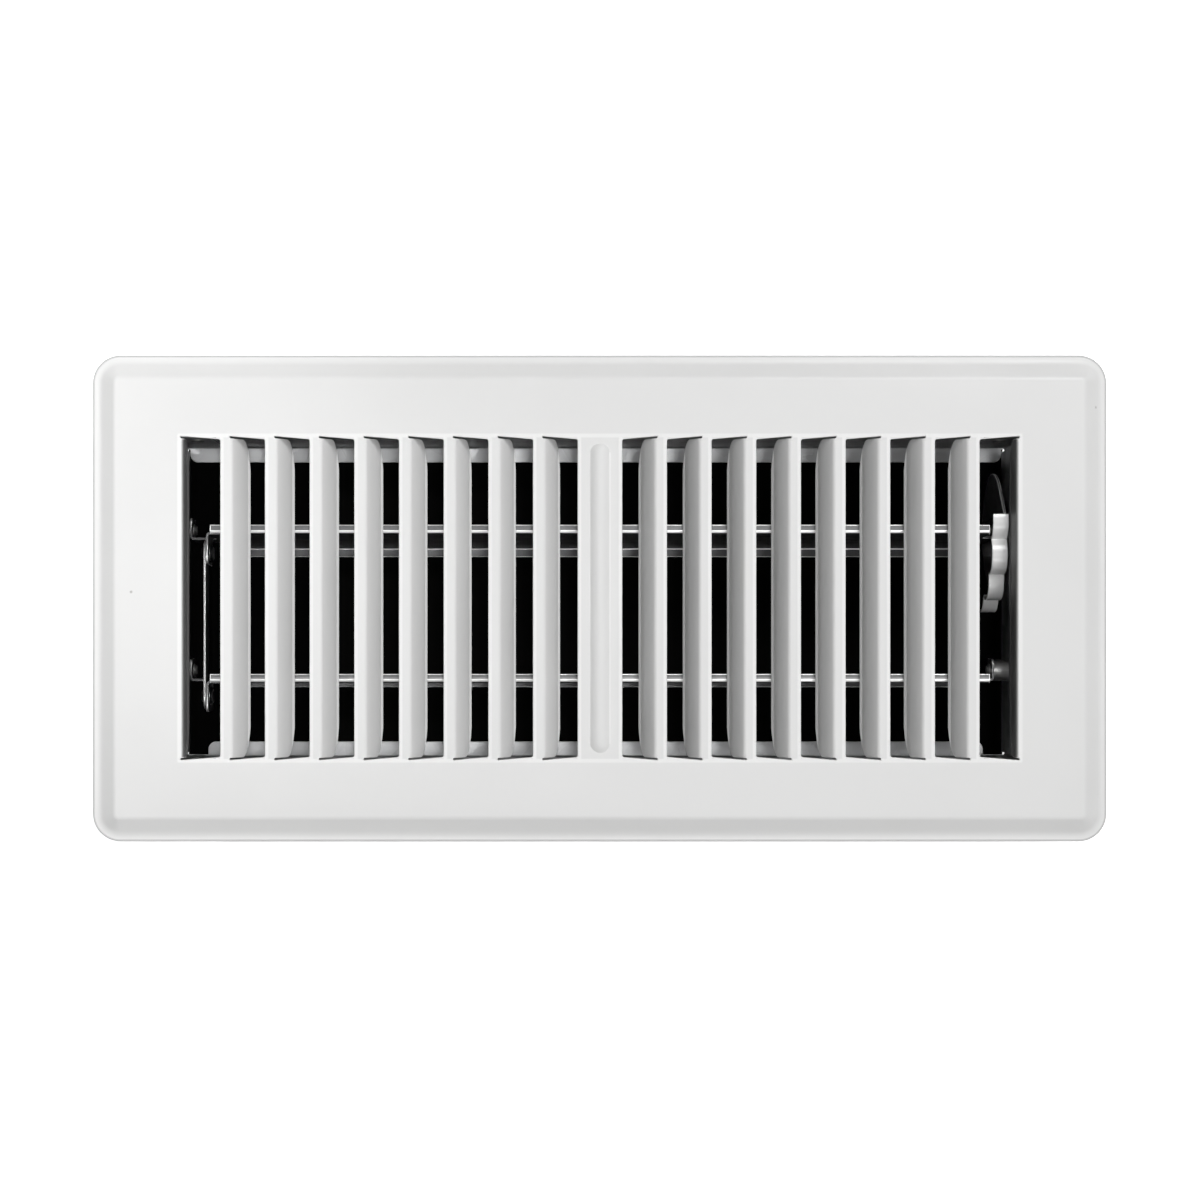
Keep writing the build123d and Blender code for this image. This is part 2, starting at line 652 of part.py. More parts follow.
wheel_rivet = rivet(
    WHEEL_RIVET_RADIUS,
    WHEEL_SHEET + BLADE_SHEET,
    WHEEL_RIVET_HEAD_RADIUS,
    WHEEL_RIVET_HEAD_HEIGHT,
    WHEEL_RIVET_HEAD_RADIUS,
    WHEEL_RIVET_HEAD_HEIGHT,
)
with BuildPart() as wheel_rivets:
    for step in (-1, 1):
        seat = Plane(
            origin=(WHEEL_FACE, REAR_PIVOT, step * WHEEL_RIVET_OFFSET - PIVOT_DROP),
            x_dir=(0, 1, 0),
            z_dir=(-1, 0, 0),
        )
        with Locations(seat):
            add(wheel_rivet)
save(wheel_rivets.part, "wheel_rivets")
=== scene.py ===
import json
import logging
import math
from dataclasses import dataclass, field
from enum import Enum
from typing import Any

import bpy
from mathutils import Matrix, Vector

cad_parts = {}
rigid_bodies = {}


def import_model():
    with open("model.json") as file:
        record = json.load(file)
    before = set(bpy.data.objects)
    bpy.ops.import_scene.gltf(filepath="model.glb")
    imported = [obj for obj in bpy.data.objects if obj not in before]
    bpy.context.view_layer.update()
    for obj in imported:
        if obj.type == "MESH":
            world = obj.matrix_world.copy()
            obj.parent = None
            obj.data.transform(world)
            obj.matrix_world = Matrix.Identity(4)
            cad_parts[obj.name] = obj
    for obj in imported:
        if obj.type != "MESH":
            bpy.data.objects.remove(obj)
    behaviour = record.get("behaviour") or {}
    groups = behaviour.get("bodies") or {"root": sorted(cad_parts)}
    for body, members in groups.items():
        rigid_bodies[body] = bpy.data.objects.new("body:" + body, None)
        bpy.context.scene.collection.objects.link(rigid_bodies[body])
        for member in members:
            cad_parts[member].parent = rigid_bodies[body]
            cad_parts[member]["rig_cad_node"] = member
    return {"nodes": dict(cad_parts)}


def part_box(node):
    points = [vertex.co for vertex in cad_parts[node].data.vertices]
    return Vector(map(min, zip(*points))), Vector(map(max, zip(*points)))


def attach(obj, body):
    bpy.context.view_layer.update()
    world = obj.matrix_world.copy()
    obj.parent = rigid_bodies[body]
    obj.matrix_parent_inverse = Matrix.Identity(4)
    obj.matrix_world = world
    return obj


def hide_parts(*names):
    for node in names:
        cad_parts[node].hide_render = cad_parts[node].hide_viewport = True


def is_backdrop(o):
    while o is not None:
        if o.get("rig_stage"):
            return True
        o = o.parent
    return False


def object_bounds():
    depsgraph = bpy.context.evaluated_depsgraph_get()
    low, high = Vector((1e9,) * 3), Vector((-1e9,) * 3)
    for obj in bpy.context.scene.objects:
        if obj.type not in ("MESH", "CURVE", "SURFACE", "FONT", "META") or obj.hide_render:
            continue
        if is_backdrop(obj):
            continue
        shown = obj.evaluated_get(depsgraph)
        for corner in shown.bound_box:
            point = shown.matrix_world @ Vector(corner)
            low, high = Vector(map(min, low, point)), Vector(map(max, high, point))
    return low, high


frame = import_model()

log = logging.getLogger("floor_register")

Triple = tuple[float, float, float]
Ends = tuple[Any, Any]

MM = 0.001

# Where rounded faces are marked
EDGE_MASK = "edge"
EDGE_SLOT = 1

# How facets are merged, and which edges are smooth or sharp
WELD_GAP = 0.001 * MM
FLAT_ANGLE = math.radians(0.3)
SMOOTH_ANGLE = math.radians(32.0)
SHARP_ANGLE = math.radians(38.0)

# Stretches of a pattern's range over which a tone or a gloss changes
WHOLE = (0.0, 1.0)
MIDDLE = (0.3, 0.7)
BROAD = (0.2, 0.8)

# Points, directions and choices of axes in the part's frame
ORIGIN = (0.0, 0.0, 0.0)
REARWARD = (0.0, 1.0, 0.0)
LEVEL = (1.0, 1.0, 0.0)
ACROSS_AXLE = (0.0, 1.0, 1.0)


class Slot(Enum):
    """The record's material slots."""

    PAINT = "white_paint"
    ZINC = "galvanised_sheet"
    PLATED = "plated_steel"
    SPRING = "spring_steel"


class Body(Enum):
    """The bodies that pieces ride on."""

    BOX = "box"
    REAR = "rear_damper"
    FRONT = "front_damper"
    LINK = "link"


class Measure(Enum):
    """How the width of a rounded edge is laid off."""

    ACROSS = "OFFSET"
    ALONG = "ABSOLUTE"


class Slope(Enum):
    """How a value passes from one end of a range to the other."""

    SMOOTH = "SMOOTHSTEP"
    EVEN = "LINEAR"


class Socket(Enum):
    """The kinds of value that a shared effect takes."""

    NUMBER = "NodeSocketFloat"
    VECTOR = "NodeSocketVector"


class LampKind(Enum):
    """The kinds of lamp in the studio."""

    AREA = "AREA"
    SPOT = "SPOT"


@dataclass
class Wiring:
    """Adds nodes to one shader tree and joins them."""

    tree: bpy.types.NodeTree

    def add(self, kind: str, **settings: Any) -> bpy.types.Node:
        """Add one node.

        Args:
            kind: The node's type name.
            **settings: Properties to set on it.

        Returns:
            The new node.
        """
        node = self.tree.nodes.new(kind)
        for name, value in settings.items():
            setattr(node, name, value)
        return node

    def feed(self, socket: bpy.types.NodeSocket, value: Any) -> None:
        """Link an output socket to an input, or set the input's own value.

        Args:
            socket: The input socket.
            value: An output socket, or a constant.
        """
        if isinstance(value, bpy.types.NodeSocket):
            self.tree.links.new(value, socket)
        else:
            socket.default_value = value

    def place(self) -> bpy.types.NodeSocket:
        """Give the place in the part's own frame."""
        return self.add("ShaderNodeTexCoord").outputs["Object"]

    def math(self, operation: str, *values: Any, clamp: bool = False) -> bpy.types.NodeSocket:
        """Work out a number.

        Args:
            operation: The Math node's operation.
            *values: Its inputs, as sockets or numbers.
            clamp: Whether the result is held between 0 and 1.

        Returns:
            The result's socket.
        """
        node = self.add("ShaderNodeMath", operation=operation, use_clamp=clamp)
        for socket, value in zip(node.inputs, values):
            self.feed(socket, value)
        return node.outputs[0]

    def vector(self, operation: str, *values: Any, result: str = "Vector") -> bpy.types.NodeSocket:
        """Work out a vector, or a number from vectors.

        Args:
            operation: The Vector Math node's operation.
            *values: Its inputs, as sockets or triples.
            result: The output to use, which is "Value" for a number.

        Returns:
            The result's socket.
        """
        node = self.add("ShaderNodeVectorMath", operation=operation)
        for socket, value in zip(node.inputs, values):
            self.feed(socket, value)
        return node.outputs[result]

    def product(self, first: Any, *others: Any) -> bpy.types.NodeSocket:
        """Multiply several numbers.

        Args:
            first: The first number.
            *others: The numbers that it is multiplied by.

        Returns:
            The result's socket.
        """
        for other in others:
            first = self.math("MULTIPLY", first, other)
        return first

    def past(self, value: Any, start: Any, width: Any) -> bpy.types.NodeSocket:
        """Tell how many widths a value lies past a start."""
        return self.math("DIVIDE", self.math("SUBTRACT", value, start), width)

    def spread(
        self, value: Any, source: Ends, target: Ends, slope: Slope = Slope.SMOOTH
    ) -> bpy.types.NodeSocket:
        """Map a value from one range to another, held at the ends.

        Args:
            value: The socket to map.
            source: The ends of the range that it comes from.
            target: The results at those ends.
            slope: How it passes from end to end.

        Returns:
            The result's socket.
        """
        node = self.add("ShaderNodeMapRange", interpolation_type=slope.value)
        for socket, number in zip(node.inputs[:5], (value, *source, *target)):
            self.feed(socket, number)
        return node.outputs[0]

    def rise(self, value: Any, source: Ends) -> bpy.types.NodeSocket:
        """Pass smoothly from 0 to 1 between the ends of a range."""
        return self.spread(value, source, (0.0, 1.0))

    def fall(self, value: Any, source: Ends) -> bpy.types.NodeSocket:
        """Pass smoothly from 1 to 0 between the ends of a range."""
        return self.spread(value, source, (1.0, 0.0))

    def blend(self, share: Any, first: Any, second: Any, kind: str = "MIX") -> bpy.types.NodeSocket:
        """Mix two colours.

        Args:
            share: How much of the second colour shows.
            first: The first colour, as a socket or a triple.
            second: The second colour, as a socket or a triple.
            kind: The blend type.

        Returns:
            The mixed colour's socket.
        """
        node = self.add("ShaderNodeMix", data_type="RGBA", blend_type=kind)
        self.feed(node.inputs["Factor"], share)
        for label, colour in (("A", first), ("B", second)):
            self.feed(node.inputs[label], (*colour, 1.0) if isinstance(colour, tuple) else colour)
        return node.outputs["Result"]

    def noise(self, scale: Any, detail: float, stretch: Triple | None = None) -> bpy.types.NodeOutputs:
        """Add a noise texture in the part's own frame.

        Args:
            scale: Cells to the metre.
            detail: Octaves.
            stretch: How the frame is scaled before the noise, if it is.

        Returns:
            The noise's outputs, by name.
        """
        place = self.place()
        if stretch is not None:
            mapping = self.add("ShaderNodeMapping")
            self.feed(mapping.inputs["Vector"], place)
            mapping.inputs["Scale"].default_value = stretch
            place = mapping.outputs["Vector"]
        node = self.add("ShaderNodeTexNoise")
        self.feed(node.inputs["Vector"], place)
        self.feed(node.inputs["Scale"], scale)
        node.inputs["Detail"].default_value = detail
        return node.outputs


def blank_material(name: str) -> tuple[bpy.types.Material, Wiring]:
    """Make a material with an empty tree.

    Args:
        name: The material's name.

    Returns:
        The material and its wiring.
    """
    material = bpy.data.materials.new(name)
    material.use_nodes = True
    material.node_tree.nodes.clear()
    return material, Wiring(material.node_tree)


@dataclass(frozen=True)
class FaceLayout:
    """Where the bars, slots, louvres and brim of the face lie in the part's frame."""

    half_length: float = 146.0 * MM
    half_width: float = 70.0 * MM
    corner: float = 8.0 * MM
    half_centre_bar: float = 6.4 * MM
    pitch: float = 12.8 * MM
    bars: int = 8
    end_slot: float = 11.4 * MM
    slot_half: float = 46.2 * MM
    panel_under: float = 4.2 * MM
    lip_top: float = -1.5 * MM
    lip_low: float = -3.3 * MM

    @property
    def last_edge(self) -> float:
        """The outer edge of the last bar."""
        return self.half_centre_bar + self.bars * self.pitch

    @property
    def end_bend(self) -> float:
        """The outer edge of the end slot, where its tab turns down."""
        return self.last_edge + self.end_slot

    @property
    def corner_centre(self) -> Triple:
        """The centre of the round of the rear right corner."""
        return (self.half_length - self.corner, self.half_width - self.corner, 0.0)


@dataclass
class GroupKit:
    """The effects that finishes share, each a node group that is built once."""

    face: FaceLayout = FaceLayout()
    fine_detail: float = 2.0
    broad_detail: float = 3.0
    edge_mark_detail: float = 4.0
    ragged_cells: float = 2600.0
    ragged_reach: float = 0.7
    speck_fall: Ends = (0.7, 1.4)
    edge_mark_level: float = 0.85
    edge_mark_rise: Ends = (-0.12, 0.12)
    painted_band_width: float = 1.1 * MM
    bar_fall: Ends = (0.7, 1.15)
    bar_end_fall: Ends = (0.0, 1.0)
    last_bar_fall: Ends = (0.0, 0.1)
    slot_end_fall: Ends = (0.6, 1.1)
    bend_fall: Ends = (0.5, 1.1)
    edge_highlight_rise: Ends = (-0.3, 0.0)
    corner_fall: Ends = (0.3, 1.0)
    tab_fall: Ends = (-0.75, -0.1)
    tab_rise: Ends = (1.0, 1.1)
    tab_end_fall: Ends = (-0.3, 0.0)
    brim_line: float = 0.35 * MM
    brim_fade: float = 0.4 * MM
    warp_cells: float = 90.0
    warp_reach: float = 4.0 * MM
    rolling: Triple = (0.02, 1.0, 1.0)
    peel: bpy.types.NodeTree = field(init=False)
    speck: bpy.types.NodeTree = field(init=False)
    edge_wear_and_highlight: bpy.types.NodeTree = field(init=False)
    painted_light_and_lip: bpy.types.NodeTree = field(init=False)
    brim: bpy.types.NodeTree = field(init=False)
    spangle: bpy.types.NodeTree = field(init=False)

    def __post_init__(self) -> None:
        """Build every group."""
        self.peel = self._peel()
        self.speck = self._speck()
        self.edge_wear_and_highlight = self._edge_wear_and_highlight()
        self.painted_light_and_lip = self._painted_light_and_lip()
        self.brim = self._brim()
        self.spangle = self._spangle()

    @staticmethod
    def _start(name: str, inputs: dict[str, Any], outputs: tuple[str, ...]) -> tuple[Wiring, Any, Any]:
        """Start one group.

        Args:
            name: The group's name.
            inputs: The default of each input, a number or a triple.
            outputs: The names of its outputs, which are numbers.

        Returns:
            The wiring, the values that the group is given and the sockets that it fills.
        """
        tree = bpy.data.node_groups.new(name, "ShaderNodeTree")
        for label, default in inputs.items():
            kind = Socket.VECTOR if isinstance(default, tuple) else Socket.NUMBER
            socket = tree.interface.new_socket(label, in_out="INPUT", socket_type=kind.value)
            socket.default_value = default
        for label in outputs:
            tree.interface.new_socket(label, in_out="OUTPUT", socket_type=Socket.NUMBER.value)
        wiring = Wiring(tree)
        return wiring, wiring.add("NodeGroupInput").outputs, wiring.add("NodeGroupOutput").inputs

    def _peel(self) -> bpy.types.NodeTree:
        """Build the fine waviness of a sprayed and baked coat, with faint broad mottling.

        Returns:
            The group.
        """
        wiring, given, made = self._start(
            "paint_peel", {"Cells": 900.0, "Mottle Cells": 25.0}, ("Height", "Mottle")
        )
        wiring.feed(made["Height"], wiring.noise(given["Cells"], self.fine_detail)["Fac"])
        wiring.feed(made["Mottle"], wiring.noise(given["Mottle Cells"], self.broad_detail)["Fac"])
        return wiring.tree

    def _speck(self) -> bpy.types.NodeTree:
        """Build one small uneven speck at a place in the part's frame.

        Returns:
            The group.
        """
        wiring, given, made = self._start("paint_speck", {"Place": ORIGIN, "Radius": 0.5 * MM}, ("Mask",))
        away = wiring.vector("DISTANCE", wiring.place(), given["Place"], result="Value")
        ragged = wiring.noise(self.ragged_cells, self.fine_detail)["Fac"]
        share = wiring.math("DIVIDE", away, given["Radius"])
        uneven = wiring.math("ADD", share, wiring.product(ragged, self.ragged_reach))
        wiring.feed(made["Mask"], wiring.fall(uneven, self.speck_fall))
        return wiring.tree

    def _edge_wear_and_highlight(self) -> bpy.types.NodeTree:
        """Build a broken mask along the rounded edges that a piece's edge attribute marks, for edge wear and
        painted highlights.

        Returns:
            The group.
        """
        wiring, given, made = self._start("edge_wear_and_highlight_mask", {"Cells": 300.0, "Cover": 0.5}, ("Mask",))
        edge = wiring.add("ShaderNodeAttribute", attribute_name=EDGE_MASK).outputs["Fac"]
        broken = wiring.noise(given["Cells"], self.edge_mark_detail)["Fac"]
        start = wiring.math("SUBTRACT", self.edge_mark_level, given["Cover"])
        shown = wiring.math("SUBTRACT", broken, start)
        wiring.feed(made["Mask"], wiring.product(edge, wiring.rise(shown, self.edge_mark_rise)))
        return wiring.tree

    def _painted_light_and_lip(self) -> bpy.types.NodeTree:
        """Build the painted highlight on the slots' edges, the bump of the louvres' rolled lips and the
        painted shade on the end tabs.

        Returns:
            The group.
        """
        wiring, given, made = self._start(
            "painted_light_and_lip_marks",
            {
                "First Edge": self.face.half_centre_bar,
                "Pitch": self.face.pitch,
                "Last Edge": self.face.last_edge,
                "End Bend": self.face.end_bend,
                "Slot Half": self.face.slot_half,
                "Width": self.painted_band_width,
                "Above": self.face.panel_under,
                "Lip Top": self.face.lip_top,
                "Lip Low": self.face.lip_low,
            },
            ("Mask", "Lip", "Tab"),
        )
        axes = wiring.add("ShaderNodeSeparateXYZ")
        wiring.feed(axes.inputs[0], wiring.place())
        height = axes.outputs["Z"]
        out = wiring.math("ABSOLUTE", axes.outputs["X"])
        along = wiring.math("ABSOLUTE", axes.outputs["Y"])
        since = wiring.math("SUBTRACT", out, given["First Edge"])
        step = wiring.math("FLOORED_MODULO", since, given["Pitch"])
        short = wiring.past(given["Pitch"], step, given["Width"])
        beyond = wiring.past(along, given["Slot Half"], given["Width"])
        bend = wiring.past(out, given["End Bend"], given["Width"])
        last = wiring.past(out, given["Last Edge"], given["Width"])
        # Painted highlight bands along the bars' edges, the slots' ends and the end slots' sides
        bar = wiring.product(
            wiring.fall(short, self.bar_fall),
            wiring.fall(last, self.last_bar_fall),
            wiring.fall(beyond, self.bar_end_fall),
        )
        slot_end = wiring.product(
            wiring.fall(beyond, self.slot_end_fall),
            wiring.rise(beyond, self.edge_highlight_rise),
            wiring.fall(bend, self.corner_fall),
        )
        side = wiring.product(
            wiring.fall(bend, self.bend_fall),
            wiring.rise(bend, self.edge_highlight_rise),
            wiring.fall(beyond, self.corner_fall),
        )
        # Painted shade mask over the turned-down end tabs
        tab_shade = wiring.product(
            wiring.fall(bend, self.tab_fall),
            wiring.rise(last, self.tab_rise),
            wiring.fall(beyond, self.tab_end_fall),
        )
        any_edge = wiring.math("MAXIMUM", wiring.math("MAXIMUM", bar, slot_end), side)
        raised = wiring.math("GREATER_THAN", height, given["Above"])
        lip = wiring.spread(height, (given["Lip Top"], given["Lip Low"]), WHOLE, Slope.EVEN)
        wiring.feed(made["Mask"], wiring.product(any_edge, raised))
        wiring.feed(made["Lip"], lip)
        wiring.feed(made["Tab"], tab_shade)
        return wiring.tree

    def _brim(self) -> bpy.types.NodeTree:
        """Build the grey line of painted shade along the sharp outer edge of the face's brim.

        Returns:
            The group.
        """
        wiring, given, made = self._start(
            "brim_line",
            {
                "Inner": self.face.corner_centre,
                "Corner": self.face.corner,
                "Line": self.brim_line,
                "Fade": self.brim_fade,
            },
            ("Mask",),
        )
        fold = wiring.vector("ABSOLUTE", wiring.place())
        level = wiring.vector("MULTIPLY", wiring.vector("SUBTRACT", fold, given["Inner"]), LEVEL)
        away = wiring.vector("LENGTH", wiring.vector("MAXIMUM", level, ORIGIN), result="Value")
        inside = wiring.math("SUBTRACT", given["Corner"], away)
        share = wiring.past(inside, given["Line"], given["Fade"])
        wiring.feed(made["Mask"], wiring.fall(share, WHOLE))
        return wiring.tree

    def _spangle(self) -> bpy.types.NodeTree:
        """Build the crystals and rolling lines of a zinc coat.

        Returns:
            The group.
        """
        wiring, given, made = self._start(
            "zinc_spangle", {"Cells": 150.0, "Lines": 2200.0}, ("Tone", "Lines")
        )
        warp = wiring.noise(self.warp_cells, self.broad_detail)["Color"]
        reach = (self.warp_reach, self.warp_reach, self.warp_reach)
        bent = wiring.vector("MULTIPLY_ADD", warp, reach, wiring.place())
        crystal = wiring.add("ShaderNodeTexVoronoi")
        wiring.feed(crystal.inputs["Vector"], bent)
        wiring.feed(crystal.inputs["Scale"], given["Cells"])
        tone = wiring.add("ShaderNodeSeparateColor")
        wiring.feed(tone.inputs["Color"], crystal.outputs["Color"])
        wiring.feed(made["Tone"], tone.outputs["Red"])
        lines = wiring.noise(given["Lines"], self.fine_detail, self.rolling)
        wiring.feed(made["Lines"], lines["Fac"])
        return wiring.tree


@dataclass(frozen=True)
class Finish:
    """What every finish has: a name, a slot in the record and a way to make its material."""

    name: str
    slot: Slot

    def material(self, kit: GroupKit) -> bpy.types.Material:
        """Make the finish's material.

        Args:
            kit: The shared effects.

        Returns:
            The material.
        """
        material, wiring = blank_material(self.name)
        shader = wiring.add("ShaderNodeBsdfPrincipled")
        output = wiring.add("ShaderNodeOutputMaterial")
        wiring.feed(output.inputs["Surface"], shader.outputs["BSDF"])
        self.coat(kit, wiring, shader)
        return material

    def coat(self, kit: GroupKit, wiring: Wiring, shader: bpy.types.Node) -> None:
        """Lay the finish on the shader, which each kind of finish does in its own way.

        Args:
            kit: The shared effects.
            wiring: The material's wiring.
            shader: Its Principled shader.
        """
        raise NotImplementedError(self.name)

    @staticmethod
    def effect(wiring: Wiring, group: bpy.types.NodeTree, **values: Any) -> bpy.types.NodeOutputs:
        """Put a shared effect into the material.

        Args:
            wiring: The material's wiring.
            group: The effect's node group.
            **values: Values for its inputs, with underscores for spaces.

        Returns:
            The effect's outputs, by name.
        """
        node = wiring.add("ShaderNodeGroup", node_tree=group)
        for label, value in values.items():
            node.inputs[label.replace("_", " ")].default_value = value
        return node.outputs

    @staticmethod
    def around(value: float, reach: Ends) -> Ends:
        """Give the ends of a range round a value."""
        return (value + reach[0], value + reach[1])

    @staticmethod
    def raise_up(
        wiring: Wiring, shader: bpy.types.Node, *layers: tuple[bpy.types.NodeSocket, float]
    ) -> None:
        """Bump the surface, one layer over the other.

        Args:
            wiring: The material's wiring.
            shader: Its Principled shader.
            *layers: The height's socket, from 0 to 1, and the depth in metres of each layer.
        """
        below = None
        for height, depth in layers:
            bump = wiring.add("ShaderNodeBump")
            bump.inputs["Distance"].default_value = depth
            bump.inputs["Strength"].default_value = 1.0
            wiring.feed(bump.inputs["Height"], height)
            if below is not None:
                wiring.feed(bump.inputs["Normal"], below)
            below = bump.outputs["Normal"]
        wiring.feed(shader.inputs["Normal"], below)


@dataclass(frozen=True)
class BakedPaint(Finish):
    """White baked enamel with a faint orange peel, a few specks, painted edge highlights and painted shade.
    """

    colour: Triple = (0.83, 0.83, 0.825)
    # Colour of the painted highlight along the slots' edges and the rounded edges
    edge_colour: Triple = (0.93, 0.93, 0.925)
    # Colour of the painted shade line along the brim's outer edge
    brim_shade_colour: Triple = (0.56, 0.56, 0.56)
    # Colour of the painted shade on the turned-down end tabs
    tab_shade_colour: Triple = (0.2, 0.2, 0.2)
    speck_colour: Triple = (0.52, 0.51, 0.5)
    roughness: float = 0.42
    gloss: Ends = (-0.04, 0.05)
    tone: Ends = (0.985, 1.012)
    peel_cells: float = 850.0
    mottle_cells: float = 22.0
    peel_depth: float = 0.012 * MM
    edge_mark_cells: float = 420.0
    edge_mark_cover: float = 0.62
    lip_depth: float = 1.4 * MM
    specks: tuple[tuple[Triple, float], ...] = ()

    def coat(self, kit: GroupKit, wiring: Wiring, shader: bpy.types.Node) -> None:
        """Lay the enamel on the shader.

        Args:
            kit: The shared effects.
            wiring: The material's wiring.
            shader: Its Principled shader.
        """
        peel = self.effect(wiring, kit.peel, Cells=self.peel_cells, Mottle_Cells=self.mottle_cells)
        edge_wear_and_highlight = self.effect(wiring, kit.edge_wear_and_highlight, Cells=self.edge_mark_cells, Cover=self.edge_mark_cover)
        painted_light_and_lip = self.effect(wiring, kit.painted_light_and_lip)
        # Painted shade: a grey line along the brim's outer edge
        brim_shade_mask = self.effect(wiring, kit.brim)["Mask"]
        tone = wiring.spread(peel["Mottle"], MIDDLE, self.tone)
        colour = wiring.blend(1.0, self.colour, tone, "MULTIPLY")
        colour = wiring.blend(brim_shade_mask, colour, self.brim_shade_colour)
        # Painted shade darkens the turned-down end tabs
        colour = wiring.blend(painted_light_and_lip["Tab"], colour, self.tab_shade_colour)
        # Painted highlight on the edges, kept off the brim's painted shade line
        painted_edge_highlight = wiring.math("MAXIMUM", edge_wear_and_highlight["Mask"], painted_light_and_lip["Mask"])
        painted_edge_highlight = wiring.math("SUBTRACT", painted_edge_highlight, brim_shade_mask, clamp=True)
        colour = wiring.blend(painted_edge_highlight, colour, self.edge_colour)
        for place, radius in self.specks:
            speck = self.effect(wiring, kit.speck, Place=place, Radius=radius)
            colour = wiring.blend(speck["Mask"], colour, self.speck_colour)
        gloss = wiring.spread(peel["Mottle"], BROAD, self.around(self.roughness, self.gloss))
        wiring.feed(shader.inputs["Base Color"], colour)
        wiring.feed(shader.inputs["Roughness"], gloss)
        self.raise_up(wiring, shader, (painted_light_and_lip["Lip"], self.lip_depth), (peel["Height"], self.peel_depth))


@dataclass(frozen=True)
class ZincSheet(Finish):
    """Galvanised sheet with spangle, rolling lines, pale cut edges that are partly wear and partly painted
    highlight, and on request a painted highlight on a bend.
    """

    colour: Triple = (0.58, 0.59, 0.6)
    # Colour of the pale edges, partly wear and partly painted highlight, and of the painted highlight on the
    # bend
    edge_colour: Triple = (0.8, 0.8, 0.79)
    roughness: float = 0.3
    gloss: Ends = (-0.06, 0.08)
    tone: Ends = (0.86, 1.1)
    spangle_cells: float = 150.0
    line_cells: float = 2200.0
    line_gloss: float = 0.1
    line_depth: float = 0.002 * MM
    edge_mark_cells: float = 350.0
    edge_mark_cover: float = 0.85
    # How metallic the pale edges and the painted bend highlight stay
    edge_metal: float = 0.15
    # Direction of the bend's normals that take a painted highlight, if any
    bend: Triple | None = None
    bend_highlight_rise: Ends = (0.925, 0.955)

    def coat(self, kit: GroupKit, wiring: Wiring, shader: bpy.types.Node) -> None:
        """Lay the zinc on the shader.

        Args:
            kit: The shared effects.
            wiring: The material's wiring.
            shader: Its Principled shader.
        """
        zinc = self.effect(wiring, kit.spangle, Cells=self.spangle_cells, Lines=self.line_cells)
        tone = wiring.spread(zinc["Tone"], WHOLE, self.tone)
        spangled = wiring.blend(1.0, self.colour, tone, "MULTIPLY")
        # Pale edges, partly wear and partly painted highlight
        pale = self.effect(wiring, kit.edge_wear_and_highlight, Cells=self.edge_mark_cells, Cover=self.edge_mark_cover)["Mask"]
        # Painted highlight on a bend where its normal faces the given direction
        if self.bend is not None:
            normal = wiring.add("ShaderNodeTexCoord").outputs["Normal"]
            facing = wiring.vector("DOT_PRODUCT", normal, self.bend, result="Value")
            pale = wiring.math("MAXIMUM", pale, wiring.rise(facing, self.bend_highlight_rise))
        wiring.feed(shader.inputs["Base Color"], wiring.blend(pale, spangled, self.edge_colour))
        shader.inputs["Metallic"].default_value = 1.0
        if self.edge_metal < 1.0:
            wiring.feed(shader.inputs["Metallic"], wiring.spread(pale, WHOLE, (1.0, self.edge_metal)))
        crystal = wiring.spread(zinc["Tone"], WHOLE, self.around(self.roughness, self.gloss))
        lined = wiring.math("MULTIPLY_ADD", zinc["Lines"], self.line_gloss, crystal)
        wiring.feed(shader.inputs["Roughness"], lined)
        self.raise_up(wiring, shader, (zinc["Lines"], self.line_depth))


@dataclass(frozen=True)
class DippedWheel(Finish):
    """A zinc-plated wheel whose rim is dipped in white enamel, with painted highlights in enamel white on
    the bare web's rounded edges.
    """

    enamel: Triple = (0.85, 0.85, 0.845)
    metal: Triple = (0.42, 0.42, 0.43)
    axle: Triple = (0.0, 20.8 * MM, -27.0 * MM)
    dip_rise: Ends = (21.2 * MM, 21.5 * MM)
    dip_wave: float = 1.6 * MM
    gloss: Ends = (0.36, 0.2)
    tone: Ends = (0.96, 1.02)
    peel_cells: float = 700.0
    mottle_cells: float = 120.0
    peel_depth: float = 0.02 * MM
    edge_mark_cells: float = 400.0
    edge_mark_cover: float = 0.85
    edge_mark_share: float = 0.85

    def coat(self, kit: GroupKit, wiring: Wiring, shader: bpy.types.Node) -> None:
        """Lay the plating and the enamel on the shader.

        Args:
            kit: The shared effects.
            wiring: The material's wiring.
            shader: Its Principled shader.
        """
        peel = self.effect(wiring, kit.peel, Cells=self.peel_cells, Mottle_Cells=self.mottle_cells)
        edge_wear_and_highlight = self.effect(wiring, kit.edge_wear_and_highlight, Cells=self.edge_mark_cells, Cover=self.edge_mark_cover)["Mask"]
        from_axle = tuple(-number for number in self.axle)
        radial = wiring.vector("MULTIPLY_ADD", wiring.place(), ACROSS_AXLE, from_axle)
        radius = wiring.vector("LENGTH", radial, result="Value")
        wavy = wiring.math("MULTIPLY_ADD", peel["Mottle"], self.dip_wave, radius)
        dipped = wiring.rise(wavy, self.dip_rise)
        tone = wiring.spread(peel["Mottle"], MIDDLE, self.tone)
        # Painted highlight: the bare web's rounded edges take the enamel white and lose their metal
        colour = wiring.blend(dipped, wiring.blend(edge_wear_and_highlight, self.metal, self.enamel), self.enamel)
        plain = wiring.math("MAXIMUM", dipped, wiring.product(edge_wear_and_highlight, self.edge_mark_share))
        wiring.feed(shader.inputs["Base Color"], wiring.blend(1.0, colour, tone, "MULTIPLY"))
        wiring.feed(shader.inputs["Metallic"], wiring.math("SUBTRACT", 1.0, plain))
        wiring.feed(shader.inputs["Roughness"], wiring.spread(dipped, WHOLE, self.gloss))
        self.raise_up(wiring, shader, (peel["Height"], self.peel_depth))


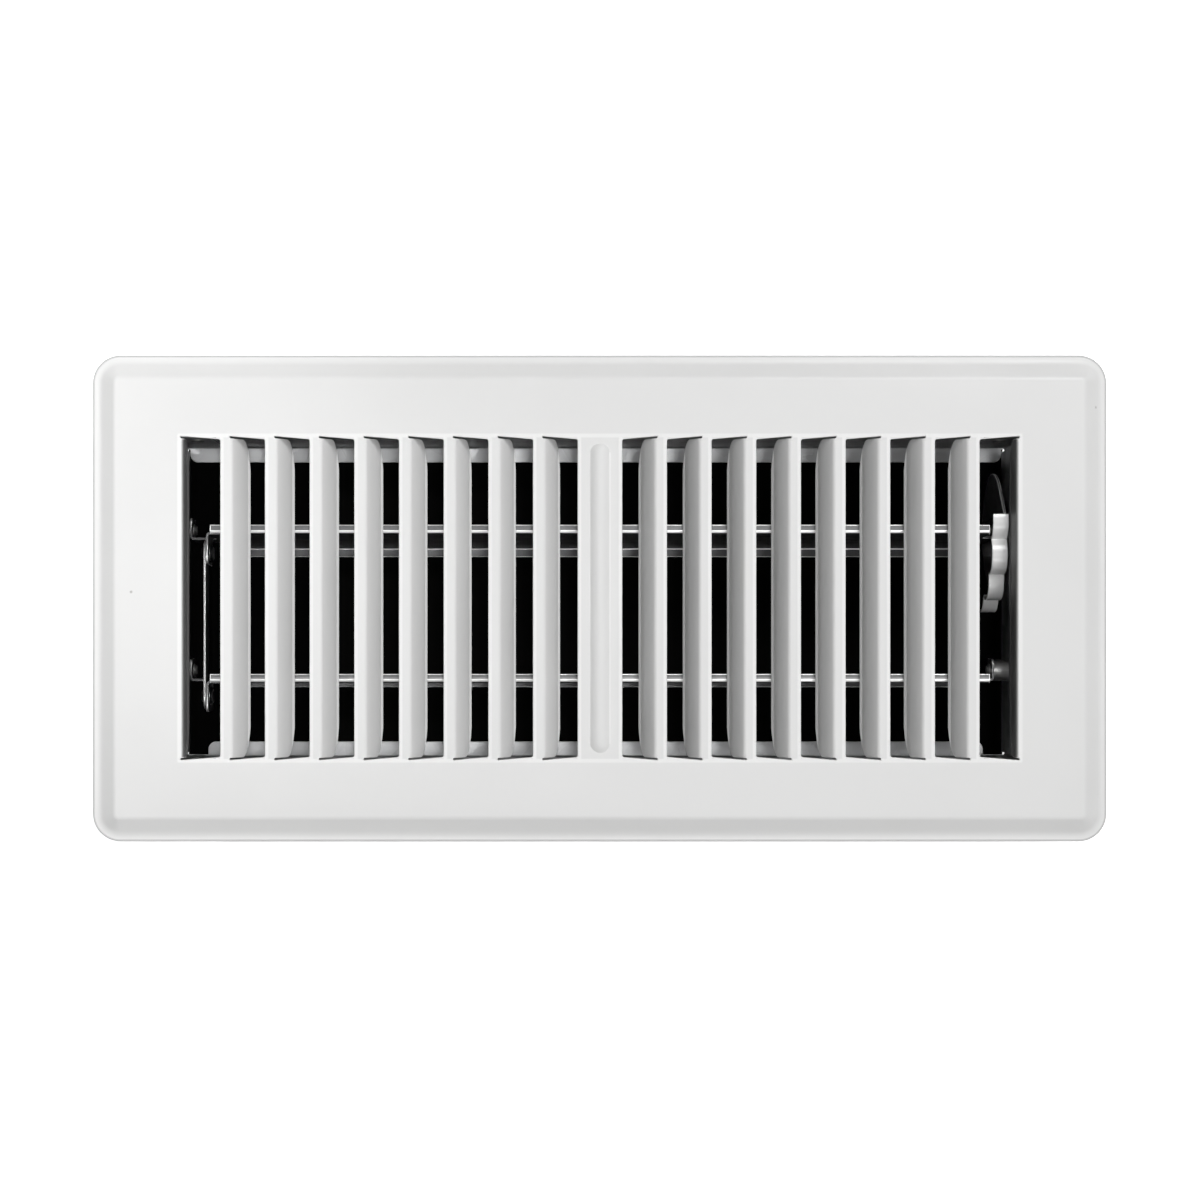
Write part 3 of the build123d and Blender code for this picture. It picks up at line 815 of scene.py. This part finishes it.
@dataclass(frozen=True)
class TurnedSteel(Finish):
    """Plated or spring steel on small turned and pressed pieces."""

    colour: Triple = (0.52, 0.52, 0.51)
    # Colour of the rubbed edges, partly wear and partly painted highlight
    edge_colour: Triple = (0.75, 0.74, 0.73)
    roughness: float = 0.38
    gloss: Ends = (-0.06, 0.1)
    tone: Ends = (0.88, 1.06)
    peel_cells: float = 1600.0
    mottle_cells: float = 260.0
    peel_depth: float = 0.01 * MM
    edge_mark_cells: float = 900.0
    edge_mark_cover: float = 0.6

    def coat(self, kit: GroupKit, wiring: Wiring, shader: bpy.types.Node) -> None:
        """Lay the steel's surface on the shader.

        Args:
            kit: The shared effects.
            wiring: The material's wiring.
            shader: Its Principled shader.
        """
        peel = self.effect(wiring, kit.peel, Cells=self.peel_cells, Mottle_Cells=self.mottle_cells)
        edge_wear_and_highlight = self.effect(wiring, kit.edge_wear_and_highlight, Cells=self.edge_mark_cells, Cover=self.edge_mark_cover)
        tone = wiring.spread(peel["Mottle"], MIDDLE, self.tone)
        mottled = wiring.blend(1.0, self.colour, tone, "MULTIPLY")
        gloss = wiring.spread(peel["Mottle"], BROAD, self.around(self.roughness, self.gloss))
        wiring.feed(shader.inputs["Base Color"], wiring.blend(edge_wear_and_highlight["Mask"], mottled, self.edge_colour))
        shader.inputs["Metallic"].default_value = 1.0
        wiring.feed(shader.inputs["Roughness"], gloss)
        self.raise_up(wiring, shader, (peel["Height"], self.peel_depth))


FACE_PAINT = BakedPaint(
    "face_paint",
    Slot.PAINT,
    specks=(
        ((-134.3 * MM, 1.8 * MM, 5.0 * MM), 0.55 * MM),
        ((142.9 * MM, 55.0 * MM, 2.0 * MM), 0.6 * MM),
    ),
)
WHEEL_PAINT = DippedWheel("wheel_paint", Slot.PAINT)
RAIL_ZINC = ZincSheet("rail_zinc", Slot.ZINC, colour=(0.52, 0.525, 0.53), roughness=0.45)
# Galvanised zinc darkened as painted shade for the blades and link bar inside the box, with a painted
# highlight on the bend facing up and to the front
BLADE_ZINC_PAINTED_SHADE = ZincSheet(
    "blade_zinc_painted_shade",
    Slot.ZINC,
    colour=(0.11, 0.111, 0.112),
    edge_colour=(0.9, 0.9, 0.89),
    roughness=0.4,
    edge_metal=1.0,
    bend=(0.0, -0.42, 0.91),
)
PLATED_RIVET = TurnedSteel("plated_rivet", Slot.PLATED)
# Plated rivets darkened as painted shade inside the box, with paler edges as a small painted highlight
RIVET_IN_PAINTED_SHADE = TurnedSteel(
    "rivet_in_painted_shade",
    Slot.PLATED,
    colour=(0.13, 0.13, 0.13),
    edge_colour=(0.4, 0.4, 0.39),
    roughness=0.3,
)
SPRING_STEEL = TurnedSteel(
    "spring_steel",
    Slot.SPRING,
    colour=(0.3, 0.3, 0.31),
    edge_colour=(0.5, 0.5, 0.5),
    roughness=0.34,
)


@dataclass
class FinishShop:
    """Makes the material of each finish once and hands it out."""

    kit: GroupKit = field(default_factory=GroupKit)
    made: dict[Finish, bpy.types.Material] = field(default_factory=dict)

    def material(self, finish: Finish) -> bpy.types.Material:
        """Hand out the material of a finish.

        Args:
            finish: The finish.

        Returns:
            Its material.
        """
        if finish not in self.made:
            self.made[finish] = finish.material(self.kit)
        return self.made[finish]


@dataclass(frozen=True)
class Rounding:
    """How the sharp edges of a piece are rounded."""

    width: float
    segments: int = 2
    measure: Measure = Measure.ACROSS


@dataclass(frozen=True)
class Part:
    """One piece of a sub-assembly: its CAD node, its rounding and its finish."""

    node: str
    rounding: Rounding
    finish: Finish


def take(piece: bpy.types.Object) -> None:
    """Select one object alone and make it active.

    Args:
        piece: The object.
    """
    bpy.ops.object.select_all(action="DESELECT")
    piece.select_set(True)
    bpy.context.view_layer.objects.active = piece


@dataclass
class SubAssembly:
    """What every sub-assembly has: a body to ride on, and pieces with rounded edges and finishes."""

    body: Body
    pieces: dict[str, bpy.types.Object] = field(default_factory=dict)

    def parts(self) -> tuple[Part, ...]:
        """List the pieces in the order in which they are built."""
        raise NotImplementedError(self.body.value)

    def build(self) -> None:
        """Model every piece."""
        for part in self.parts():
            piece = self.round_copy(part.node, part.rounding)
            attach(piece, self.body.value)
            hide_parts(part.node)
            self.pieces[part.node] = piece
            log.info("%s: %d faces on %s", piece.name, len(piece.data.polygons), self.body.value)

    def dress(self, shop: FinishShop) -> None:
        """Give every piece its finish.

        Args:
            shop: Where the materials come from.
        """
        for part in self.parts():
            self.pieces[part.node].data.materials.append(shop.material(part.finish))

    def round_copy(self, node: str, rounding: Rounding) -> bpy.types.Object:
        """Copy a node, merge its facets and round its sharp edges.

        Args:
            node: The CAD node's name.
            rounding: How its edges are rounded.

        Returns:
            The new piece, with an edge attribute on its rounded faces.
        """
        take(frame["nodes"][node])
        bpy.ops.object.duplicate()
        piece = bpy.context.view_layer.objects.active
        piece.name = piece.data.name = f"{node}_skin"
        del piece["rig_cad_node"]
        piece.data.materials.clear()
        bpy.ops.mesh.customdata_custom_splitnormals_clear()
        self.merge_facets()
        bpy.ops.object.shade_smooth_by_angle(angle=SMOOTH_ANGLE)
        bevel = piece.modifiers.new("edges", "BEVEL")
        bevel.offset_type = rounding.measure.value
        bevel.width = rounding.width
        bevel.segments = rounding.segments
        bevel.limit_method = "ANGLE"
        bevel.angle_limit = SHARP_ANGLE
        bevel.use_clamp_overlap = False
        bevel.harden_normals = True
        bevel.material = EDGE_SLOT
        for label in ("face", "edge"):
            piece.data.materials.append(bpy.data.materials.new(f"{node}_{label}"))
        bpy.ops.object.modifier_apply(modifier=bevel.name)
        self.mark_edges(piece)
        return piece

    @staticmethod
    def merge_facets() -> None:
        """Join the active piece's flat facets, but not across a seam on its middle plane."""
        bpy.ops.object.mode_set(mode="EDIT")
        bpy.ops.mesh.select_all(action="SELECT")
        bpy.ops.mesh.remove_doubles(threshold=WELD_GAP)
        bpy.ops.mesh.bisect(plane_co=ORIGIN, plane_no=REARWARD)
        bpy.ops.mesh.mark_seam()
        bpy.ops.mesh.select_all(action="SELECT")
        bpy.ops.mesh.dissolve_limited(angle_limit=FLAT_ANGLE, delimit={"SEAM"})
        bpy.ops.object.mode_set(mode="OBJECT")

    @staticmethod
    def mark_edges(piece: bpy.types.Object) -> None:
        """Turn the rounded faces' material number into the edge attribute.

        Args:
            piece: The rounded piece, with its rounded faces in its second material slot.
        """
        numbers = [polygon.material_index for polygon in piece.data.polygons]
        mask = piece.data.attributes.new(EDGE_MASK, "FLOAT", "FACE")
        mask.data.foreach_set("value", [float(number) for number in numbers])
        spare = list(piece.data.materials)
        piece.data.materials.clear()
        for material in spare:
            bpy.data.materials.remove(material)
        piece.data.polygons.foreach_set("material_index", [0] * len(numbers))


@dataclass
class FacePlate(SubAssembly):
    """The louvred stamping that lies on the floor."""

    body: Body = Body.BOX
    stamped: Rounding = Rounding(0.28 * MM, 3)

    def parts(self) -> tuple[Part, ...]:
        """List the face plate."""
        return (Part("face_plate", self.stamped, FACE_PAINT),)


@dataclass
class DamperBox(SubAssembly):
    """The open box under the face: rails, end plates and the rivets in its corners."""

    body: Body = Body.BOX
    cut: Rounding = Rounding(0.2 * MM)
    turned: Rounding = Rounding(0.22 * MM, 3)

    def parts(self) -> tuple[Part, ...]:
        """List the walls and the rivets in the order in which they are built.

        Returns:
            The pieces.
        """
        walls = ("rear_rail", "front_rail", "left_end_plate", "right_end_plate")
        return (
            *(Part(wall, self.cut, RAIL_ZINC) for wall in walls),
            Part("corner_rivets", self.turned, PLATED_RIVET),
        )


@dataclass
class PivotSet(SubAssembly):
    """The fixed pivots of the blades, with the spacers and the spring washer on them."""

    body: Body = Body.BOX
    turned: Rounding = Rounding(0.22 * MM, 3)
    pressed: Rounding = Rounding(0.08 * MM)

    def parts(self) -> tuple[Part, ...]:
        """List the pivots, spacers and washer in the order in which they are built.

        Returns:
            The pieces.
        """
        pivots = ("left_rear_pivot", "left_front_pivot", "right_rear_pivot", "right_front_pivot")
        spacers = ("rear_spacer", "front_spacer")
        return (
            *(Part(node, self.turned, PLATED_RIVET) for node in (*pivots, *spacers)),
            Part("spring_washer", self.pressed, SPRING_STEEL),
        )


@dataclass
class RearDamper(SubAssembly):
    """The rear blade, with the thumb wheel and the crank pin that are riveted to it."""

    body: Body = Body.REAR
    folded: Rounding = Rounding(0.24 * MM, 3, Measure.ALONG)
    scalloped: Rounding = Rounding(0.22 * MM, 3)
    riveted: Rounding = Rounding(0.2 * MM, 3)

    def parts(self) -> tuple[Part, ...]:
        """List the blade and what is riveted to it in the order in which they are built.

        Returns:
            The pieces.
        """
        return (
            Part("rear_blade", self.folded, BLADE_ZINC_PAINTED_SHADE),
            Part("thumb_wheel", self.scalloped, WHEEL_PAINT),
            Part("wheel_rivets", self.riveted, PLATED_RIVET),
            Part("rear_link_rivet", self.riveted, RIVET_IN_PAINTED_SHADE),
        )


@dataclass
class FrontDamper(SubAssembly):
    """The front blade and its crank pin."""

    body: Body = Body.FRONT
    folded: Rounding = Rounding(0.24 * MM, 3, Measure.ALONG)
    riveted: Rounding = Rounding(0.2 * MM, 3)

    def parts(self) -> tuple[Part, ...]:
        """List the blade and its pin in the order in which they are built.

        Returns:
            The pieces.
        """
        return (
            Part("front_blade", self.folded, BLADE_ZINC_PAINTED_SHADE),
            Part("front_link_rivet", self.riveted, RIVET_IN_PAINTED_SHADE),
        )


@dataclass
class Linkage(SubAssembly):
    """The bar that makes both blades turn together."""

    body: Body = Body.LINK
    sheared: Rounding = Rounding(0.32 * MM, 3)

    def parts(self) -> tuple[Part, ...]:
        """List the bar."""
        return (Part("link_bar", self.sheared, BLADE_ZINC_PAINTED_SHADE),)


@dataclass(frozen=True)
class Lamp:
    """What every lamp has: a name, a place, its power and a point to aim at."""

    name: str
    place: Triple
    watts: float
    aim: Triple = ORIGIN

    def hang(self, kind: LampKind) -> bpy.types.Light:
        """Hang a lamp and aim it.

        Args:
            kind: The kind of lamp.

        Returns:
            The lamp's settings.
        """
        bpy.ops.object.select_all(action="DESELECT")
        bpy.ops.object.light_add(type=kind.value, location=self.place)
        lamp = bpy.context.object
        lamp.name = self.name
        lamp.data.energy = self.watts
        lamp.rotation_mode = "QUATERNION"
        lamp.rotation_quaternion = (Vector(self.aim) - Vector(self.place)).to_track_quat("-Z", "Y")
        return lamp.data


@dataclass(frozen=True)
class SoftBox(Lamp):
    """One soft lamp of the studio."""

    size: tuple[float, float] = (1.0, 1.0)

    def build(self) -> None:
        """Hang the lamp."""
        light = self.hang(LampKind.AREA)
        light.shape = "RECTANGLE"
        light.size, light.size_y = self.size


@dataclass(frozen=True)
class SoftSpot(Lamp):
    """One soft-edged spot that washes part of the face."""

    radius: float = 0.05
    degrees: float = 11.5

    def build(self) -> None:
        """Hang the spot."""
        light = self.hang(LampKind.SPOT)
        light.shadow_soft_size = self.radius
        light.spot_size = math.radians(self.degrees)
        light.spot_blend = 1.0


@dataclass
class Studio:
    """A pale floor, a black card under the open box as painted shade, soft lamps and an even surround."""

    floor_gap: float = 0.05 * MM
    floor_span: float = 6.0
    floor_colour: Triple = (0.9, 0.9, 0.9)
    floor_lift: float = 0.55
    card_gap: float = 0.02 * MM
    card_inset: float = 0.3 * MM
    # Colour of the black card, painted shade under the open box
    shade_card_colour: Triple = (0.004, 0.004, 0.004)
    top_flange: float = 9.5 * MM
    surround: float = 0.1
    lamps: tuple[SoftBox | SoftSpot, ...] = (
        SoftBox("key_rear", (0.45, 0.85, 1.3), 11.7, size=(0.5, 0.5)),
        SoftBox("key_front", (0.9, -1.9, 2.6), 11.0, size=(0.7, 0.7)),
        SoftBox("key_right", (1.6, 0.0, 2.2), 4.1, size=(1.0, 1.0)),
        SoftBox("over_face", (0.063, -0.02, 1.5), 4.7, size=(0.12, 0.12)),
        SoftBox("top_left", (-0.3, 0.05, 1.2), 0.6, size=(0.4, 0.5)),
        SoftBox("low_left", (-0.95, 0.0, 0.1), 0.28, size=(0.8, 0.15)),
        SoftBox("low_front", (0.0, -0.95, 0.1), 1.05, size=(0.8, 0.15)),
        SoftSpot("wash_left", (-1.0, 0.35, 1.4), 36.0, aim=(-0.2, 0.04, 0.0)),
    )

    def build(self) -> None:
        """Set up everything around the object."""
        low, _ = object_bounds()
        self.sheet("floor", (self.floor_span, self.floor_span), low.z - self.floor_gap, self.pale())
        # Black card under the open box: painted shade standing in for the dark space below it
        start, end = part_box("left_end_plate")[0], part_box("right_end_plate")[1]
        front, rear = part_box("front_rail")[0].y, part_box("rear_rail")[1].y
        margin = self.top_flange + self.card_inset
        size = (end.x - start.x - 2 * margin, rear - front - 2 * margin)
        self.sheet("card", size, low.z - self.card_gap, self.black())
        for lamp in self.lamps:
            lamp.build()
        self.light_surround()

    @staticmethod
    def sheet(name: str, size: tuple[float, float], height: float, material: bpy.types.Material) -> None:
        """Lay a flat stage sheet, centred on the object.

        Args:
            name: The sheet's name.
            size: Its length and width.
            height: Its height.
            material: Its material.
        """
        bpy.ops.object.select_all(action="DESELECT")
        bpy.ops.mesh.primitive_plane_add(size=1.0, location=(0.0, 0.0, height))
        piece = bpy.context.object
        piece.name = name
        piece.scale = (*size, 1.0)
        bpy.ops.object.transform_apply(location=True, rotation=True, scale=True)
        piece.data.materials.append(material)
        piece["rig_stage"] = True

    def pale(self) -> bpy.types.Material:
        """Make the floor's material, which is seen lifted towards white and is clear from below.

        Returns:
            The material.
        """
        material, wiring = blank_material("pale_floor")
        matt = wiring.add("ShaderNodeBsdfDiffuse")
        matt.inputs["Color"].default_value = (*self.floor_colour, 1.0)
        lift = wiring.add("ShaderNodeEmission")
        wiring.feed(lift.inputs["Strength"], wiring.product(self.seen(wiring), self.floor_lift))
        both = wiring.add("ShaderNodeAddShader")
        wiring.feed(both.inputs[0], matt.outputs["BSDF"])
        wiring.feed(both.inputs[1], lift.outputs["Emission"])
        self.clear_from_below(wiring, both.outputs["Shader"])
        return material

    def black(self) -> bpy.types.Material:
        """Make the black card's material, painted shade under the open box.

        Returns:
            The material.
        """
        material, wiring = blank_material("painted_shade_card")
        matt = wiring.add("ShaderNodeBsdfDiffuse")
        matt.inputs["Color"].default_value = (*self.shade_card_colour, 1.0)
        self.clear_from_below(wiring, matt.outputs["BSDF"])
        return material

    @staticmethod
    def seen(wiring: Wiring) -> bpy.types.NodeSocket:
        """Tell the rays that show the stage, straight or in metal, from those that light the object.

        Args:
            wiring: The wiring of a floor or surround.

        Returns:
            A socket that is 1 for rays that show the stage.
        """
        path = wiring.add("ShaderNodeLightPath")
        shown = wiring.math("MAXIMUM", path.outputs["Is Camera Ray"], path.outputs["Is Glossy Ray"])
        return wiring.math("MAXIMUM", shown, path.outputs["Is Transmission Ray"])

    @staticmethod
    def clear_from_below(wiring: Wiring, shader: bpy.types.NodeSocket) -> None:
        """Finish a stage material so that its underside is clear.

        Args:
            wiring: The material's wiring.
            shader: The shader for its top.
        """
        under = wiring.add("ShaderNodeNewGeometry").outputs["Backfacing"]
        clear = wiring.add("ShaderNodeBsdfTransparent")
        choice = wiring.add("ShaderNodeMixShader")
        wiring.feed(choice.inputs[0], under)
        wiring.feed(choice.inputs[1], shader)
        wiring.feed(choice.inputs[2], clear.outputs["BSDF"])
        output = wiring.add("ShaderNodeOutputMaterial")
        wiring.feed(output.inputs["Surface"], choice.outputs["Shader"])

    def light_surround(self) -> None:
        """Light the object evenly from all round, before a surround that is seen as white."""
        world = bpy.data.worlds.new("surround")
        bpy.context.scene.world = world
        world.use_nodes = True
        world.node_tree.nodes.clear()
        wiring = Wiring(world.node_tree)
        light = wiring.add("ShaderNodeBackground")
        strength = wiring.spread(self.seen(wiring), WHOLE, (self.surround, 1.0))
        wiring.feed(light.inputs["Strength"], strength)
        output = wiring.add("ShaderNodeOutputWorld")
        wiring.feed(output.inputs["Surface"], light.outputs["Background"])


@dataclass
class PhotoCamera:
    """A camera that looks straight down, with its lens shifted to centre the face."""

    place: Triple = (-18.0 * MM, -16.0 * MM, 755.0 * MM)
    turn: Triple = (0.0, 0.0, 0.0)
    sensor: float = 36.0
    lens: float = 78.55
    shift: tuple[float, float] = (0.0524, 0.045)

    def build(self) -> None:
        """Set up the camera and make it the scene's."""
        bpy.ops.object.select_all(action="DESELECT")
        bpy.ops.object.camera_add(location=self.place, rotation=self.turn)
        camera = bpy.context.object
        camera.name = "photo_camera"
        camera.data.sensor_width = self.sensor
        camera.data.lens = self.lens
        camera.data.shift_x, camera.data.shift_y = self.shift
        bpy.context.scene.camera = camera


def main() -> None:
    """Build the register, its finishes, the studio and the camera."""
    logging.basicConfig(level=logging.INFO, format="%(message)s")
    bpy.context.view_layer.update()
    shop = FinishShop()
    assemblies = (FacePlate(), DamperBox(), PivotSet(), RearDamper(), FrontDamper(), Linkage())
    for assembly in assemblies:
        assembly.build()
        assembly.dress(shop)
    Studio().build()
    PhotoCamera().build()
    bpy.context.scene.view_settings.view_transform = "Standard"


if __name__ == "__main__":
    main()
